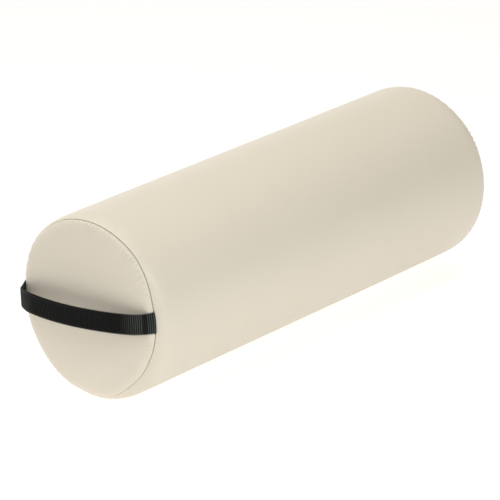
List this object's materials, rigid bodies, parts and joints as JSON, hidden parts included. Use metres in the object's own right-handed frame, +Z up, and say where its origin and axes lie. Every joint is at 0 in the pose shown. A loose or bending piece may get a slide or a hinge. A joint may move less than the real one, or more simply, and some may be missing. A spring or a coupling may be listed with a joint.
{
  "type": "foam roller",
  "caption": "Full-round foam massage bolster in a sewn vinyl cover, with domed end panels, a webbing carry handle across one end and a closed zip along the back.",
  "frame": {"origin": "middle of the flat patch that the bolster rests on, on the ground under the middle of its length", "axes": "+X along the roller away from the handle end, +Z up, -Y towards the side that has no zip"},
  "size_m": [0.6891, 0.2286, 0.2274],
  "materials": {
    "cover_vinyl": "satin",
    "thread": "satin",
    "thread_black": "satin",
    "foam": "matte",
    "fibre": "matte",
    "webbing": "satin",
    "zip_tape": "matte",
    "zip_coil": "satin",
    "zip_metal": "satin"
  },
  "bodies": {
    "roller": {"cover_body": "cover_vinyl", "cover_front_end": "cover_vinyl", "cover_rear_end": "cover_vinyl", "front_seam_thread": "thread", "rear_seam_thread": "thread", "foam_core": "foam", "fibre_wrap": "fibre", "front_end_pad": "fibre", "rear_end_pad": "fibre", "handle_end_left": "webbing", "handle_end_right": "webbing", "handle_tack_left": "thread_black", "handle_tack_right": "thread_black", "zip_tape_upper": "zip_tape", "zip_tape_lower": "zip_tape", "zip_coil_upper": "zip_coil", "zip_coil_lower": "zip_coil", "zip_stitch_upper": "thread", "zip_stitch_lower": "thread", "zip_top_stop_upper": "zip_metal", "zip_top_stop_lower": "zip_metal", "zip_bottom_stop": "zip_metal"},
    "handle": {"handle_strap": "webbing"},
    "slider": {"zip_slider": "zip_metal"},
    "pull": {"zip_pull": "zip_metal"}
  },
  "joints": [
    {"name": "handle_swing", "type": "hinge", "parent": "roller", "child": "handle", "pos_m": [-0.32, 0, 0.1181], "axis": [0, 1, 0], "range_deg": [-30, 30], "stiffness_Nm_per_rad": 0.1},
    {"name": "zip_slide", "type": "slide", "parent": "roller", "child": "slider", "axis": [1, 0, 0], "range_m": [0, 0.53]},
    {"name": "zip_pull_flip", "type": "hinge", "parent": "slider", "child": "pull", "pos_m": [-0.265, 0.10828, 0.15795], "axis": [0, -0.3827, 0.9239], "range_deg": [0, 180]}
  ]
}
